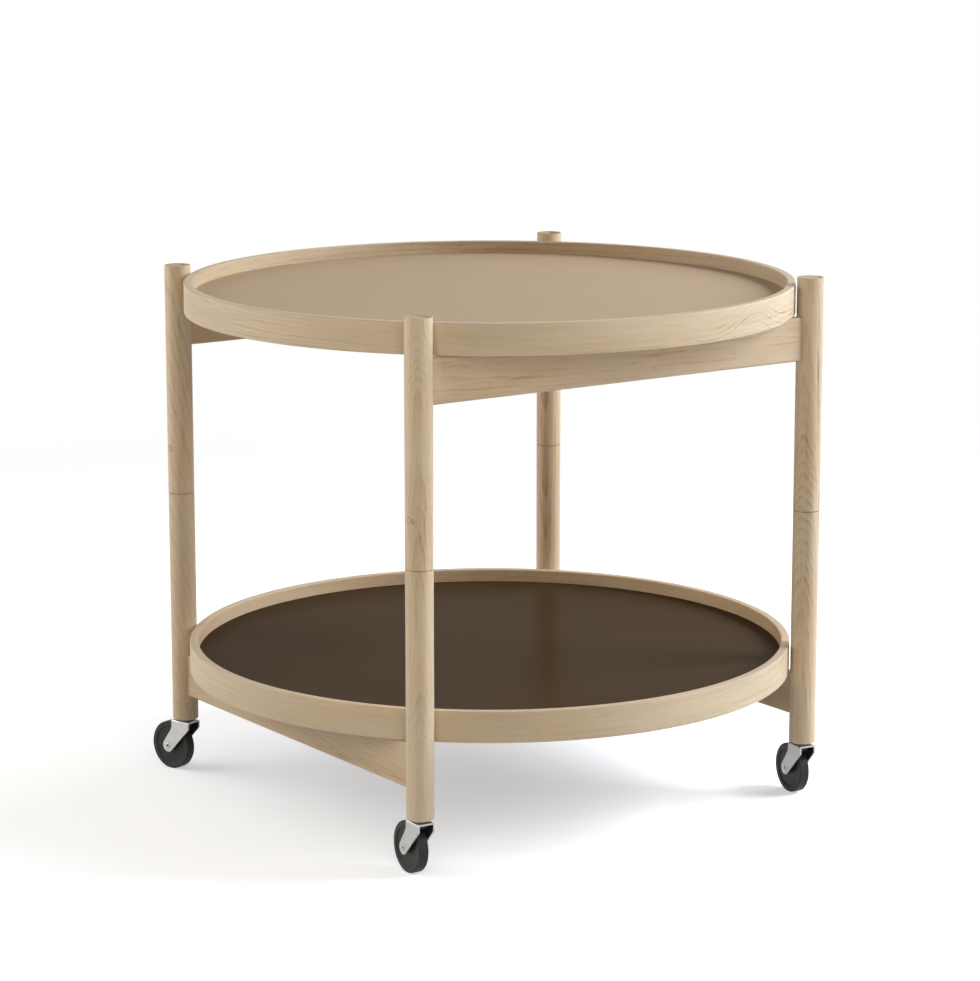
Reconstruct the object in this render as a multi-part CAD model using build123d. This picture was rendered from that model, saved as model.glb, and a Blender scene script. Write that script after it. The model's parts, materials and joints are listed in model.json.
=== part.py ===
from build123d import *
import math
import os

# Serving trolley: four turned oak legs on swivel casters, four thin oak rails, and two loose
# round trays that rest on the rails between the legs. Each leg is two halves screwed together:
# the upper halves carry the upper rails, which run left to right along X, and the lower halves
# carry the lower rails, which run front to back along Y.
# Millimetres. The origin is on the floor, under the centre of the trays, and +Z is up.

# Frame: leg positions and heights
LEG_DIAMETER = 26.0
LEG_SPACING_X = 458.0
LEG_SPACING_Y = 431.0
LEG_FOOT_Z = 56.0
LEG_JOINT_Z = 291.5
LEG_TOP_Z = 522.0
LEG_TOP_ROUND = 0.8
LEG_JOINT_ROUND = 0.35

# Rails: thin slats on edge, let into the legs on their centre lines
RAIL_THICKNESS = 7.5
RAIL_HEIGHT = 44.0
RAIL_ROUND = 3.0
RAIL_PAST_LEG_AXIS = 5.0
UPPER_RAIL_TOP_Z = 484.6
LOWER_RAIL_TOP_Z = 125.0

# Trays: a hoop with the panel's core held in a groove at half its height. Laminate is laid on both
# faces of the core, inside the hoop, and stops just short of it
TRAY_DIAMETER = 600.0
RIM_THICKNESS = 8.5
RIM_HEIGHT = 30.0
RIM_ROUND = 1.2
CORE_THICKNESS = 2.8
LAMINATE_THICKNESS = 0.6
LAMINATE_EDGE_GAP = 0.3
GROOVE_DEPTH = 3.5
TRAY_REST_GAP = 0.1

# Hardware inside the legs
STUD_DIAMETER = 8.0
STUD_BELOW_JOINT = 19.0
STUD_ABOVE_JOINT = 28.0
INSERT_DIAMETER = 11.5
INSERT_LENGTH = 20.0
THREAD_CLEARANCE = 0.05
THREAD_CHAMFER = 0.8

# Casters: a pressed U-shaped fork on a riveted kingpin, trailing behind the leg's axis
WHEEL_DIAMETER = 49.5
WHEEL_WIDTH = 10.0
TYRE_ROUND = 1.0
HUB_DIAMETER = 40.8
HUB_RECESS = 0.9
HUB_RIM_WIDTH = 0.9
BOSS_DIAMETER = 11.0
TRAIL = 17.8
FORK_WIDTH = 17.5
FORK_SHEET = 1.7
FORK_BEND = 2.2
FORK_TOP_Z = 53.5
FORK_FRONT = 11.4
FORK_REAR = 12.0
FORK_FRONT_CORNER_Z = 45.7
FORK_REAR_CORNER_Z = 44.5
FORK_EYE_RADIUS = 6.7
FORK_FRONT_BLEND = 3.0
FORK_REAR_BLEND = 12.0
WHEEL_SIDE_PLAY = 0.3
AXLE_DIAMETER = 4.0
AXLE_HEAD_DIAMETER = 5.8
AXLE_HEAD_HEIGHT = 0.7
AXLE_HEAD_ROUND = 0.4
AXLE_EYE_DIAMETER = 2.4
AXLE_EYE_DEPTH = 2.5
RUNNING_CLEARANCE = 0.06

# Kingpin: its threaded end is in the leg, and its riveted end holds the ball cup under the fork
STEM_LENGTH = 18.0
COLLAR_DIAMETER = 10.4
WASHER_DIAMETER = 13.0
WASHER_THICKNESS = 0.6
WASHER_GAP = 0.1
KINGPIN_DIAMETER = 6.0
CUP_DIAMETER = 13.4
CUP_TOP_Z = 49.2
CUP_THICKNESS = 1.2
CUP_LIP_HEIGHT = 0.9
CUP_LIP_WIDTH = 0.5
RIVET_HEAD_DIAMETER = 8.4
RIVET_HEAD_HEIGHT = 1.1
RIVET_HEAD_ROUND = 0.65
BALL_DIAMETER = 2.4
BALL_RING_DIAMETER = 9.6
BALL_COUNT = 9

# Where each leg stands, as signs of X and Y, and the way its caster faces at rest, in degrees
CORNERS = {
    "front_left": (-1, -1, -94.3),
    "front_right": (1, -1, -99.4),
    "back_right": (1, 1, -88.0),
    "back_left": (-1, 1, -74.0),
}

LEG_RADIUS = LEG_DIAMETER / 2
TRAY_RADIUS = TRAY_DIAMETER / 2
WHEEL_RADIUS = WHEEL_DIAMETER / 2
FORK_INNER_WIDTH = FORK_WIDTH - 2 * FORK_SHEET

# How far a cutting tool runs past the face it cuts, and how a solid is stood on its underside
OVERCUT = 1.0
ON_UNDERSIDE = (Align.CENTER, Align.CENTER, Align.MIN)


def save(shape, name):
    """Write one node, made of one solid or of several equal ones."""
    shape.label = name
    export_step(shape, os.path.join("parts", name + ".step"))
    print(name, len(shape.solids()), round(shape.volume / 1000, 3), "cm3")


def corner(name):
    """The place of a leg's axis on the floor."""
    side_x, side_y, _ = CORNERS[name]
    return Pos(side_x * LEG_SPACING_X / 2, side_y * LEG_SPACING_Y / 2, 0)


def upright(radius, low, high):
    """A round bar on the Z axis, from one height to another."""
    return Pos(0, 0, low) * Cylinder(radius, high - low, align=ON_UNDERSIDE)


def group(name, make):
    """The same small part at each leg, as one node of separate solids."""
    return Compound(children=[corner(place) * make() for place in CORNERS], label=name)


def rail(length, top_z, direction):
    """A slat with rounded edges, centred on the origin and running along X or Y."""
    section = RectangleRounded(RAIL_THICKNESS, RAIL_HEIGHT, RAIL_ROUND)
    slat = extrude(Plane.YZ * section, length / 2, both=True)
    slat = Pos(0, 0, top_z - RAIL_HEIGHT / 2) * slat
    return slat if direction == "x" else Rot(0, 0, 90) * slat


def rails():
    """The four rails, by name: their ends are let into the legs just past the leg's axis."""
    upper_length = LEG_SPACING_X + 2 * RAIL_PAST_LEG_AXIS
    lower_length = LEG_SPACING_Y + 2 * RAIL_PAST_LEG_AXIS
    upper = rail(upper_length, UPPER_RAIL_TOP_Z, "x")
    lower = rail(lower_length, LOWER_RAIL_TOP_Z, "y")
    return {
        "upper_rail_front": Pos(0, -LEG_SPACING_Y / 2, 0) * upper,
        "upper_rail_back": Pos(0, LEG_SPACING_Y / 2, 0) * upper,
        "lower_rail_left": Pos(-LEG_SPACING_X / 2, 0, 0) * lower,
        "lower_rail_right": Pos(LEG_SPACING_X / 2, 0, 0) * lower,
    }


def leg_half(low, high, low_round, high_round):
    """A plain turned bar with softened ends."""
    bar = upright(LEG_RADIUS, low, high)
    rims = bar.edges().filter_by(GeomType.CIRCLE).sort_by(Axis.Z)
    bar = fillet(rims[0], low_round)
    rims = bar.edges().filter_by(GeomType.CIRCLE).sort_by(Axis.Z)
    return fillet(rims[-1], high_round)


def upper_leg():
    """The upper half: its foot has a blind hole for the stud's plain end."""
    bar = leg_half(LEG_JOINT_Z, LEG_TOP_Z, LEG_JOINT_ROUND, LEG_TOP_ROUND)
    stud_hole = upright(STUD_DIAMETER / 2, LEG_JOINT_Z - OVERCUT, LEG_JOINT_Z + STUD_ABOVE_JOINT)
    return bar - stud_hole


def lower_leg():
    """The lower half: an insert nut sits in each end, for the stud and for the caster."""
    bar = leg_half(LEG_FOOT_Z, LEG_JOINT_Z, LEG_JOINT_ROUND, LEG_JOINT_ROUND)
    top_hole = upright(INSERT_DIAMETER / 2, LEG_JOINT_Z - INSERT_LENGTH, LEG_JOINT_Z + OVERCUT)
    foot_hole = upright(INSERT_DIAMETER / 2, LEG_FOOT_Z - OVERCUT, LEG_FOOT_Z + INSERT_LENGTH)
    return bar - top_hole - foot_hole


def insert_nut(low):
    """A threaded insert, shown as a plain sleeve."""
    high = low + INSERT_LENGTH
    bore = upright(STUD_DIAMETER / 2 + THREAD_CLEARANCE, low - OVERCUT, high + OVERCUT)
    return upright(INSERT_DIAMETER / 2, low, high) - bore


def leg_stud():
    """The stud that holds the two halves of a leg together."""
    bar = upright(STUD_DIAMETER / 2, LEG_JOINT_Z - STUD_BELOW_JOINT, LEG_JOINT_Z + STUD_ABOVE_JOINT)
    return chamfer(bar.edges().filter_by(GeomType.CIRCLE), THREAD_CHAMFER)


def tray_parts(bottom_z):
    """Rim, core and the two laminate faces of one tray, by the end of their names."""
    middle_z = bottom_z + RIM_HEIGHT / 2
    inner_radius = TRAY_RADIUS - RIM_THICKNESS
    section = RectangleRounded(RIM_THICKNESS, RIM_HEIGHT, RIM_ROUND)
    groove = Pos(-RIM_THICKNESS / 2, 0) * Rectangle(2 * GROOVE_DEPTH, CORE_THICKNESS)
    profile = Pos(TRAY_RADIUS - RIM_THICKNESS / 2, middle_z) * (section - groove)
    rim = revolve(Plane.XZ * profile, Axis.Z)
    core_radius = inner_radius + GROOVE_DEPTH
    laminate_radius = inner_radius - LAMINATE_EDGE_GAP
    core_low = middle_z - CORE_THICKNESS / 2
    core_high = middle_z + CORE_THICKNESS / 2
    return {
        "rim": rim,
        "panel_core": upright(core_radius, core_low, core_high),
        "top_laminate": upright(laminate_radius, core_high, core_high + LAMINATE_THICKNESS),
        "bottom_laminate": upright(laminate_radius, core_low - LAMINATE_THICKNESS, core_low),
    }


def tangent_point(point, centre, radius, side):
    """Where the line from a point touches a circle, on its left (1) or right (-1) side."""
    across = centre[0] - point[0]
    down = centre[1] - point[1]
    distance = math.hypot(across, down)
    heading = math.atan2(down, across) - side * math.asin(radius / distance)
    reach = math.sqrt(distance ** 2 - radius ** 2)
    return point[0] + reach * math.cos(heading), point[1] + reach * math.sin(heading)


def fork_outline():
    """The fork's side: upright at the top, swept back to an eye round the axle."""
    eye = (-TRAIL, WHEEL_RADIUS)
    front_corner = (FORK_FRONT, FORK_FRONT_CORNER_Z)
    rear_corner = (-FORK_REAR, FORK_REAR_CORNER_Z)
    front_touch = tangent_point(front_corner, eye, FORK_EYE_RADIUS, -1)
    rear_touch = tangent_point(rear_corner, eye, FORK_EYE_RADIUS, 1)
    eye_foot = (-TRAIL, WHEEL_RADIUS - FORK_EYE_RADIUS)
    edges = [
        Line((-FORK_REAR, FORK_TOP_Z), (FORK_FRONT, FORK_TOP_Z)),
        Line((FORK_FRONT, FORK_TOP_Z), front_corner),
        Line(front_corner, front_touch),
        ThreePointArc(front_touch, eye_foot, rear_touch),
        Line(rear_touch, rear_corner),
        Line(rear_corner, (-FORK_REAR, FORK_TOP_Z)),
    ]
    face = make_face(edges)
    front_vertex = face.vertices().sort_by_distance(front_corner)[0]
    face = fillet(front_vertex, FORK_FRONT_BLEND)
    rear_vertex = face.vertices().sort_by_distance(rear_corner)[0]
    return fillet(rear_vertex, FORK_REAR_BLEND)


def across_wheel(radius, width):
    """A round bar along the wheel's axle, centred on the wheel."""
    return Pos(-TRAIL, 0, WHEEL_RADIUS) * Rot(90, 0, 0) * Cylinder(radius, width)


def fork():
    """One pressed sheet: a top plate with the kingpin's hole, and two side plates."""
    block = extrude(Plane.XZ * fork_outline(), FORK_WIDTH / 2, both=True)
    top_edges = block.edges().filter_by(Axis.X).group_by(Axis.Z)[-1]
    block = fillet(top_edges, FORK_BEND)
    inside_height = FORK_TOP_Z - FORK_SHEET
    inside = Box(4 * FORK_WIDTH, FORK_INNER_WIDTH, inside_height, align=ON_UNDERSIDE)
    inside_edges = inside.edges().filter_by(Axis.X).group_by(Axis.Z)[-1]
    inside = fillet(inside_edges, FORK_BEND - FORK_SHEET)
    kingpin_hole = upright(KINGPIN_DIAMETER / 2 + RUNNING_CLEARANCE, CUP_TOP_Z, FORK_TOP_Z + OVERCUT)
    axle_hole = across_wheel(AXLE_DIAMETER / 2, 2 * FORK_WIDTH)
    return block - inside - kingpin_hole - axle_hole


def axle_rivet():
    """A tubular rivet: flat heads outside the fork, and a small eye in each end."""
    pin = across_wheel(AXLE_DIAMETER / 2, FORK_WIDTH)
    heads = across_wheel(AXLE_HEAD_DIAMETER / 2, FORK_WIDTH + 2 * AXLE_HEAD_HEIGHT)
    heads = fillet(heads.edges().filter_by(GeomType.CIRCLE), AXLE_HEAD_ROUND)
    heads = heads - across_wheel(AXLE_HEAD_DIAMETER, FORK_WIDTH)
    rivet = pin + heads
    eyes = across_wheel(AXLE_EYE_DIAMETER / 2, 2 * FORK_WIDTH)
    eyes = eyes - across_wheel(AXLE_EYE_DIAMETER, FORK_WIDTH + 2 * AXLE_HEAD_HEIGHT - 2 * AXLE_EYE_DEPTH)
    return rivet - eyes


def wheel_hub():
    """A moulded disc, a little sunk inside the tyre's faces, with a boss round its bore."""
    disc = across_wheel(HUB_DIAMETER / 2, WHEEL_WIDTH)
    sunk = across_wheel(HUB_DIAMETER / 2 - HUB_RIM_WIDTH, WHEEL_WIDTH)
    sunk = sunk - across_wheel(HUB_DIAMETER, WHEEL_WIDTH - 2 * HUB_RECESS)
    boss = across_wheel(BOSS_DIAMETER / 2, FORK_INNER_WIDTH - 2 * WHEEL_SIDE_PLAY)
    bore = across_wheel(AXLE_DIAMETER / 2 + RUNNING_CLEARANCE, 2 * FORK_WIDTH)
    return disc - sunk + boss - bore


def tyre():
    """A solid ring with softened edges, pressed round the hub."""
    ring = across_wheel(WHEEL_RADIUS, WHEEL_WIDTH)
    ring = fillet(ring.edges().filter_by(GeomType.CIRCLE), TYRE_ROUND)
    return ring - across_wheel(HUB_DIAMETER / 2, 2 * WHEEL_WIDTH)


def kingpin():
    """Threaded end, collar against the leg's foot, pin through the fork, and riveted end."""
    collar_low = FORK_TOP_Z + WASHER_GAP + WASHER_THICKNESS
    cup_low = CUP_TOP_Z - CUP_THICKNESS
    thread = upright(STUD_DIAMETER / 2, LEG_FOOT_Z, LEG_FOOT_Z + STEM_LENGTH)
    thread = chamfer(thread.edges().filter_by(GeomType.CIRCLE).sort_by(Axis.Z)[-1], THREAD_CHAMFER)
    collar = upright(COLLAR_DIAMETER / 2, collar_low, LEG_FOOT_Z)
    pin = upright(KINGPIN_DIAMETER / 2, cup_low, collar_low)
    head = upright(RIVET_HEAD_DIAMETER / 2, cup_low - RIVET_HEAD_HEIGHT, cup_low)
    head = fillet(head.edges().filter_by(GeomType.CIRCLE).sort_by(Axis.Z)[0], RIVET_HEAD_ROUND)
    return thread + collar + pin + head


def thrust_washer():
    """A thin slip washer between the collar and the fork."""
    low = FORK_TOP_Z + WASHER_GAP
    high = low + WASHER_THICKNESS
    return upright(WASHER_DIAMETER / 2, low, high) - upright(KINGPIN_DIAMETER / 2, FORK_TOP_Z, LEG_FOOT_Z)


def ball_cup():
    """The lower race under the fork's top plate, with a lip that keeps the balls in."""
    low = CUP_TOP_Z - CUP_THICKNESS
    dish = upright(CUP_DIAMETER / 2, low, CUP_TOP_Z + CUP_LIP_HEIGHT)
    hollow = upright(CUP_DIAMETER / 2 - CUP_LIP_WIDTH, CUP_TOP_Z, FORK_TOP_Z)
    return dish - hollow - upright(KINGPIN_DIAMETER / 2, low - OVERCUT, FORK_TOP_Z)


def bearing_balls():
    """The ring of balls between the cup and the fork's top plate."""
    centre_z = (CUP_TOP_Z + FORK_TOP_Z - FORK_SHEET) / 2
    ring = PolarLocations(BALL_RING_DIAMETER / 2, BALL_COUNT)
    return Compound(children=[Pos(0, 0, centre_z) * place * Sphere(BALL_DIAMETER / 2) for place in ring])


os.makedirs("parts", exist_ok=True)

rail_solids = rails()
for node, solid in rail_solids.items():
    save(solid, node)

for place in CORNERS:
    upper = corner(place) * upper_leg()
    lower = corner(place) * lower_leg()
    for solid in rail_solids.values():
        upper = upper - solid
        lower = lower - solid
    save(upper, "leg_upper_" + place)
    save(lower, "leg_lower_" + place)

save(group("leg_joint_studs", leg_stud), "leg_joint_studs")
save(group("leg_joint_inserts", lambda: insert_nut(LEG_JOINT_Z - INSERT_LENGTH)), "leg_joint_inserts")
save(group("caster_inserts", lambda: insert_nut(LEG_FOOT_Z)), "caster_inserts")

for level, rail_top in (("upper", UPPER_RAIL_TOP_Z), ("lower", LOWER_RAIL_TOP_Z)):
    for part, solid in tray_parts(rail_top + TRAY_REST_GAP).items():
        save(solid, level + "_tray_" + part)

caster_parts = {
    "kingpin": kingpin(),
    "thrust_washer": thrust_washer(),
    "ball_cup": ball_cup(),
    "balls": bearing_balls(),
    "fork": fork(),
    "axle_rivet": axle_rivet(),
    "wheel_hub": wheel_hub(),
    "tyre": tyre(),
}
for place, (_, _, heading) in CORNERS.items():
    for part, solid in caster_parts.items():
        save(corner(place) * Rot(0, 0, heading) * solid, "caster_" + part + "_" + place)
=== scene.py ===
# %% [markdown]
# # A round serving trolley in oak
# The trolley is two loose trays lying on thin rails between four legs, on four swivel casters.
# The CAD model already fixes where every piece is, so it is loaded first as a frame. Most pieces
# that show are then built again with finer edges, and each gets a finish of its own.
# Everything is in metres, +Z is up, and the floor is at zero.

# %% Load the frame
import json
import math
import bmesh
import bpy
from mathutils import Matrix, Vector


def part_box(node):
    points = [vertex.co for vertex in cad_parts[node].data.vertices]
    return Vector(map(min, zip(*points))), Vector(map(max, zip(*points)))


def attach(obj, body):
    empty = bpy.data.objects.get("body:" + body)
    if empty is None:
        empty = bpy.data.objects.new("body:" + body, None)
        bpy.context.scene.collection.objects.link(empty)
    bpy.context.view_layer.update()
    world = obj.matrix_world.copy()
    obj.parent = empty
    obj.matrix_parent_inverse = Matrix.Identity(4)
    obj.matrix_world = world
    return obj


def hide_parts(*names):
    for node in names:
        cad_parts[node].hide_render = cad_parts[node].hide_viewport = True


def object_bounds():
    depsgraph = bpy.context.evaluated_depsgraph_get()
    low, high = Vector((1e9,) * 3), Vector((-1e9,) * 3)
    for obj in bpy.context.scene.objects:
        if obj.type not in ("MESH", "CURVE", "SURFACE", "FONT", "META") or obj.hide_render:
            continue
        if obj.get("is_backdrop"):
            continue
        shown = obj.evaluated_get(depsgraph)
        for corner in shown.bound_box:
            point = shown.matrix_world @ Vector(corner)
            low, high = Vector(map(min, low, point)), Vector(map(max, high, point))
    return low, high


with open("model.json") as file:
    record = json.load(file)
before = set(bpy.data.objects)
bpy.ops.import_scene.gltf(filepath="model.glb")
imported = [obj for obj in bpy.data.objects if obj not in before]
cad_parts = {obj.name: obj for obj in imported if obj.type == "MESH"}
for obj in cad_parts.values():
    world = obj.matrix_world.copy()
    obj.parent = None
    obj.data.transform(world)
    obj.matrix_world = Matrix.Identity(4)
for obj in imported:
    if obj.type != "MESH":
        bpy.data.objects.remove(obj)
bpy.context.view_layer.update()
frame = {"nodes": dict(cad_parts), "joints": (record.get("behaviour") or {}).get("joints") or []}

MM = 0.001

# %% [markdown]
# ## Where things are
# Where each leg, rail and tray lies is measured from the frame, so that a move in the CAD carries
# over. A caster's heading is read from its wheel's axle: the axle points to the left of the way
# the caster would roll.

# %% Measure the frame
PLACES = ("front_left", "front_right", "back_right", "back_left")
joints = {joint["name"]: joint for joint in frame["joints"]}
leg_axis = {}
heading = {}
for place in PLACES:
    low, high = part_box("leg_upper_" + place)
    leg_axis[place] = Vector(((low.x + high.x) / 2, (low.y + high.y) / 2, 0))
    axle = joints["wheel_spin_" + place]["axis"]
    heading[place] = math.atan2(-axle[0], axle[1])
    where = [round(value, 4) for value in leg_axis[place]]
    print(place, "leg at", where, "heading", round(math.degrees(heading[place]), 1))
leg_radius = 13 * MM
leg_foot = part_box("leg_lower_front_left")[0].z
leg_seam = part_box("leg_upper_front_left")[0].z
leg_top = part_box("leg_upper_front_left")[1].z

# %% [markdown]
# ## Helpers for every piece
# `soften` shades round faces smooth and keeps real corners sharp. `fit` gives a piece its finish,
# ties it to the body that carries it, and hides the CAD node it stands for. `paint` gives some of
# its faces a second finish. `link` turns a mesh that was built in code into an object.

# %% Shade and fit a piece
def soften(obj, corner=38):
    """Smooth shading, with corners sharper than this many degrees kept crisp."""
    obj.data.shade_smooth()
    obj.data.set_sharp_from_angle(angle=math.radians(corner))
    even = obj.modifiers.new("even_shading", "WEIGHTED_NORMAL")
    even.keep_sharp = True
    return obj


def fit(obj, body, node, material):
    """Give a piece its finish and its place in the frame."""
    obj.data.materials.clear()
    obj.data.materials.append(material)
    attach(obj, body)
    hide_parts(node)
    return obj


def paint(obj, faces, material):
    """Give some faces of a piece a second finish."""
    obj.data.materials.append(material)
    for index in faces:
        obj.data.polygons[index].material_index = 1


def link(name, bm):
    """Turn a bmesh into an object of the scene."""
    bmesh.ops.recalc_face_normals(bm, faces=bm.faces)
    mesh = bpy.data.meshes.new(name)
    bm.to_mesh(mesh)
    bm.free()
    obj = bpy.data.objects.new(name, mesh)
    bpy.context.scene.collection.objects.link(obj)
    return obj


# %% [markdown]
# ## Turning and planing
# Most pieces are turned on a lathe (legs, rims, wheels, rivets) or are a bar of one section
# (rails, the fork's bent strip). A lathe piece is a profile of radius and height spun about Z. A
# bar is an outline pushed along X. Rounded corners are arcs in the profile, so that the edges
# catch light as real eased edges do.

# %% Arcs, lathe and bar
def arc(centre, radius, start, stop, steps=6):
    """Points on a circle, from one angle to another in degrees."""
    points = []
    for step in range(steps + 1):
        angle = math.radians(start + (stop - start) * step / steps)
        points.append((centre[0] + radius * math.cos(angle), centre[1] + radius * math.sin(angle)))
    return points


def spin(name, profile, segments, closed=False):
    """Spin (radius, height) points about Z. A closed profile makes a ring."""
    bm = bmesh.new()
    rings = []
    for radius, height in profile:
        count = segments if radius > 1e-7 else 1
        turns = [2 * math.pi * i / segments for i in range(count)]
        rings.append([bm.verts.new((radius * math.cos(t), radius * math.sin(t), height)) for t in turns])
    pairs = list(zip(rings, rings[1:]))
    if closed:
        pairs.append((rings[-1], rings[0]))
    for lower, upper in pairs:
        for i in range(segments):
            j = (i + 1) % segments
            below = [lower[i % len(lower)], lower[j % len(lower)]]
            above = [upper[j % len(upper)], upper[i % len(upper)]]
            bm.faces.new(dict.fromkeys(below + above))
    return link(name, bm)


def bar(name, outline, start, stop):
    """Push a closed outline of (y, z) points along X."""
    bm = bmesh.new()
    ends = [[bm.verts.new((x, y, z)) for y, z in outline] for x in (start, stop)]
    for i in range(len(outline)):
        j = (i + 1) % len(outline)
        bm.faces.new((ends[0][i], ends[0][j], ends[1][j], ends[1][i]))
    bm.faces.new(ends[0])
    bm.faces.new(ends[1])
    return link(name, bm)


def move(obj, matrix):
    """Put a piece in place in its mesh, so that its object stays at the origin as the CAD's do."""
    obj.data.transform(matrix)
    return obj


# %% [markdown]
# ## Cutting one piece with another
# A mortise is what is left when the rail's own shape is taken out of the leg, and the fork is what
# a strip bent to a U keeps when its side view is stamped out. Both are Boolean modifiers, applied
# at once so that only the result stays.

# %% Carve
def applied(obj):
    """Keep what an object's modifiers make of it as its own mesh."""
    graph = bpy.context.evaluated_depsgraph_get()
    result = bpy.data.meshes.new_from_object(obj.evaluated_get(graph))
    obj.modifiers.clear()
    obj.data = result
    return obj


def carve(obj, tool, operation):
    """Cut obj with tool, keep the result in obj's mesh, and clear the tool away."""
    cut = obj.modifiers.new("cut", "BOOLEAN")
    cut.operation = operation
    cut.solver = "EXACT"
    cut.object = tool
    applied(obj)
    bpy.data.objects.remove(tool)
    return obj


# %% [markdown]
# ## Wiring finishes in plain sums
# A finish is a tree of shader nodes. `Wire` stands for one output of a node and can be added,
# multiplied and so on, so that a formula reads as a formula. `Finish.node` makes any other node:
# its type, then its settings, then what goes into its sockets.

# %% Wire and Finish
class Wire:
    """One output of a shader node, used in sums as if it were a number."""

    def __init__(self, finish, socket):
        self.finish = finish
        self.socket = socket

    def out(self, name):
        """Another output of the same node."""
        return Wire(self.finish, self.socket.node.outputs[name])

    def __add__(self, other):
        return self.finish.math("ADD", self, other)

    def __radd__(self, other):
        return self.finish.math("ADD", other, self)

    def __sub__(self, other):
        return self.finish.math("SUBTRACT", self, other)

    def __rsub__(self, other):
        return self.finish.math("SUBTRACT", other, self)

    def __mul__(self, other):
        return self.finish.math("MULTIPLY", self, other)

    def __rmul__(self, other):
        return self.finish.math("MULTIPLY", other, self)

    def __truediv__(self, other):
        return self.finish.math("DIVIDE", self, other)

    def __pow__(self, other):
        return self.finish.math("POWER", self, other)


class Finish:
    """A node tree and the few words needed to wire it."""

    def __init__(self, tree):
        self.tree = tree
        self.tree.nodes.clear()

    def node(self, kind, settings=None, sockets=None, output=0):
        made = self.tree.nodes.new("ShaderNode" + kind)
        for key, value in (settings or {}).items():
            if key == "stops":
                while len(made.color_ramp.elements) < len(value):
                    made.color_ramp.elements.new(0.5)
                for element, (position, colour) in zip(made.color_ramp.elements, value):
                    element.position = position
                    element.color = (*colour, 1)
            else:
                setattr(made, key, value)
        for key, value in (sockets or {}).items():
            if isinstance(value, Wire):
                self.tree.links.new(value.socket, made.inputs[key])
            else:
                made.inputs[key].default_value = value
        return Wire(self, made.outputs[output]) if made.outputs else None

    def math(self, operation, *values):
        return self.node("Math", {"operation": operation}, dict(enumerate(values)))

    def ramp(self, value, stops):
        """Greys or colours along a value from 0 to 1."""
        return self.node("ValToRGB", {"stops": stops}, {"Fac": value})

    def step(self, value, low, high):
        """0 below low, 1 above high, and a smooth rise between."""
        settings = {"interpolation_type": "SMOOTHSTEP"}
        return self.node("MapRange", settings, {"Value": value, "From Min": low, "From Max": high})

    def noise(self, place, stretch, detail=2.0, roughness=0.5):
        """Soft noise about 0, squeezed or drawn out along each axis by that many cells a metre."""
        drawn = self.node("VectorMath", {"operation": "MULTIPLY"}, {0: place, 1: stretch})
        sockets = {"Vector": drawn, "Scale": 1.0, "Detail": detail, "Roughness": roughness}
        return self.node("TexNoise", None, sockets) - 0.5

    def reach(self, point, place):
        """How far a point is from a place, in metres."""
        return self.node("VectorMath", {"operation": "DISTANCE"}, {0: point, 1: place}, output="Value")

    def near(self, point, place, reach):
        """A soft round patch: 1 at a place, fading to nothing past this reach."""
        return self.math("EXPONENT", (self.reach(point, place) / reach) ** 2.0 * -1.0)

    def patches(self, point, places):
        """Soft round patches added up: each has a place, a reach and how much it changes."""
        total = 0.0
        for place, reach, change in places:
            total = total + self.near(point, place, reach) * change
        return total

    def blend(self, share, first, second):
        """Two colours mixed by a share from 0 to 1."""
        return self.node("Mix", {"data_type": "RGBA"}, {0: share, 6: first, 7: second}, output=2)

    def scale(self, colour, value):
        """A colour made lighter or darker by a value."""
        return self.node("VectorMath", {"operation": "SCALE"}, {0: colour, "Scale": value})

    def tint(self, colour, shares):
        """A colour with its red, green and blue each scaled by a share of its own."""
        return self.node("VectorMath", {"operation": "MULTIPLY"}, {0: colour, 1: shares})

    def bump(self, height, depth, strength=1.0):
        """A normal bent by a height from 0 to 1, over this depth in metres."""
        return self.node("Bump", None, {"Height": height, "Distance": depth, "Strength": strength})

    def raised(self, value, least):
        """A value from 0 to 1, squeezed so that it never falls below this."""
        return value * (1 - least) + least

    def worn_edge(self):
        """1 on a sharp outer edge, 0 on flat and hollow faces."""
        return self.step(self.node("NewGeometry", output="Pointiness"), 0.53, 0.60)

    def surface(self, **sockets):
        """The shader itself. Underscores in a socket's name stand for spaces."""
        named = {key.replace("_", " "): value for key, value in sockets.items()}
        shader = self.node("BsdfPrincipled", None, named)
        self.node("OutputMaterial", None, {"Surface": shader})


def new_finish(name):
    material = bpy.data.materials.new(name)
    material.use_nodes = True
    return material, Finish(material.node_tree)


# %% [markdown]
# ## Oak, sawn from a log
# Oak has rings: each starts with a line of open pores and ends in dense, even wood. A piece shows
# straight lines where its face runs across the rings, and arches where it nearly follows them. So
# the finish is solid wood: it measures how far each point is from the heart of the log, and
# cuts that distance into rings. `board` says which way the grain runs in a piece, and `heart` and
# `drift` say where the heart was and how far the saw strayed from it, which is what gives each
# piece a figure of its own. Noise drawn out along the grain adds fibre, pores and soft clouds.
#
# The rest is each piece's character. `ring` is the width of a year. `bold` makes the rings
# stronger and `tone` makes the wood darker, and `wild` and the darker patches do so only in soft
# round patches: each has a place, a reach and a change. The darker patches are dark figure on a
# leg, but painted shade on a hoop's outer face. `steady` gives even, soft rings. Each of the
# `bends` is a smooth step between two places along the piece, where the rings swerve, which closes
# arches and hooks. `knots` push the rings aside, and a warm tint, painted warm shade, goes on pieces
# and faces that sit in shade. `staves` gives the glue line of a second, straighter stave: its
# direction, its place and the stave's tone, which on the front right leg is painted light. `inside`
# gives a hoop's inner face painted shade, painted warm shade and patches of painted light.

# %% Boards: which way the grain runs
def upright_board(place):
    """A leg, turned on end: along, across and through the board it was cut from."""
    centre = leg_axis[place]

    def board(wood, point):
        split = wood.node("SeparateXYZ", None, {"Vector": point})
        return split.out("Z"), split.out("X") - centre.x, split.out("Y") - centre.y
    return board


def rail_board(direction):
    """A rail, sawn along X or along Y, with its height across the board."""
    def board(wood, point):
        split = wood.node("SeparateXYZ", None, {"Vector": point})
        x, y, z = split.out("X"), split.out("Y"), split.out("Z")
        return (x, z, y) if direction == "x" else (y, z, x)
    return board


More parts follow.
